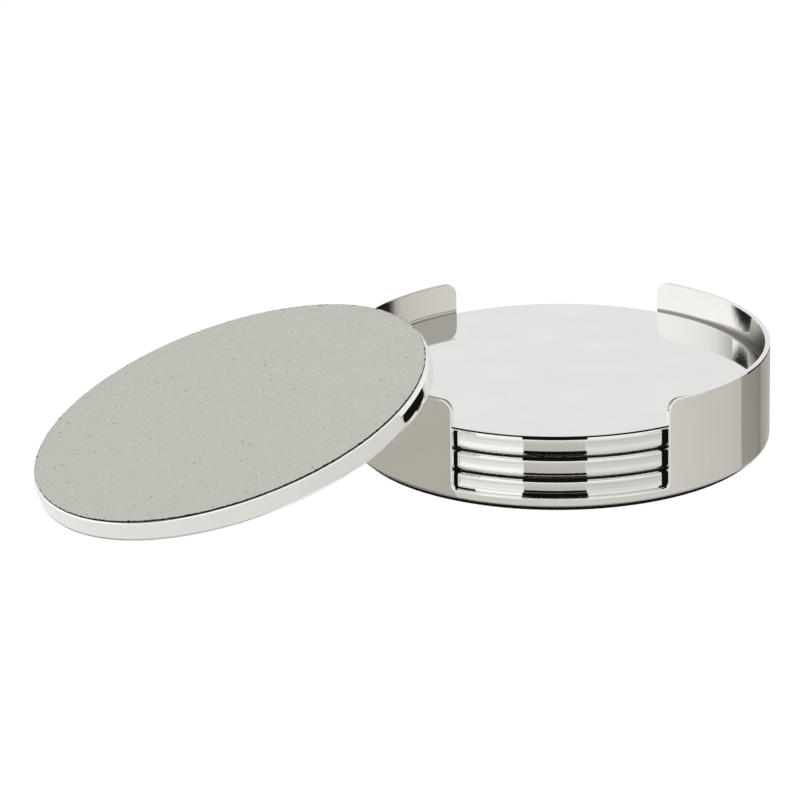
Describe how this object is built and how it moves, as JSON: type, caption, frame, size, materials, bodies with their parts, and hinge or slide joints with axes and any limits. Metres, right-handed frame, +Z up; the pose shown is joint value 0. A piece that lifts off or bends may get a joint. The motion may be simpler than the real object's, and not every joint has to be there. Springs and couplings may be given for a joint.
{
  "type": "drinks coaster set with holder",
  "caption": "Round polished metal drinks coasters with felt undersides, stacked in a low cup-shaped holder with finger notches, and one coaster leaning on its wall.",
  "frame": {"origin": "on the holder's axis, on the table under its foot pad", "axes": "+Z up along the holder's axis; the finger notches face -Y and +Y; the leaning coaster lies towards -X and a little towards -Y"},
  "size_m": [0.1786, 0.1357, 0.0359],
  "materials": {
    "polished_holder": "mirror-polished plated sheet",
    "polished_coaster": "mirror-polished plated sheet",
    "coaster_felt": "short dense grey felt with dark flecks",
    "foot_felt": "short dense black felt",
    "core_board": "plain hardboard"
  },
  "bodies": {
    "holder": {"holder_cup": "polished_holder", "holder_foot_pad": "foot_felt"},
    "bottom_coaster": {"bottom_coaster_cap": "polished_coaster", "bottom_coaster_core": "core_board", "bottom_coaster_felt": "coaster_felt"},
    "middle_coaster": {"middle_coaster_cap": "polished_coaster", "middle_coaster_core": "core_board", "middle_coaster_felt": "coaster_felt"},
    "top_coaster": {"top_coaster_cap": "polished_coaster", "top_coaster_core": "core_board", "top_coaster_felt": "coaster_felt"},
    "leaning_coaster": {"leaning_coaster_cap": "polished_coaster", "leaning_coaster_core": "core_board", "leaning_coaster_felt": "coaster_felt"}
  },
  "joints": [
    {"name": "bottom_coaster_lift", "type": "slide", "parent": "holder", "child": "bottom_coaster", "axis": [0, 0, 1], "range_m": [0, 0.03]},
    {"name": "middle_coaster_lift", "type": "slide", "parent": "bottom_coaster", "child": "middle_coaster", "axis": [0, 0, 1], "range_m": [0, 0.03]},
    {"name": "top_coaster_lift", "type": "slide", "parent": "middle_coaster", "child": "top_coaster", "axis": [0, 0, 1], "range_m": [0, 0.03]},
    {"name": "leaning_coaster_lift", "type": "slide", "parent": "top_coaster", "child": "leaning_coaster", "axis": [0, 0, 1], "range_m": [0, 0.04]}
  ]
}
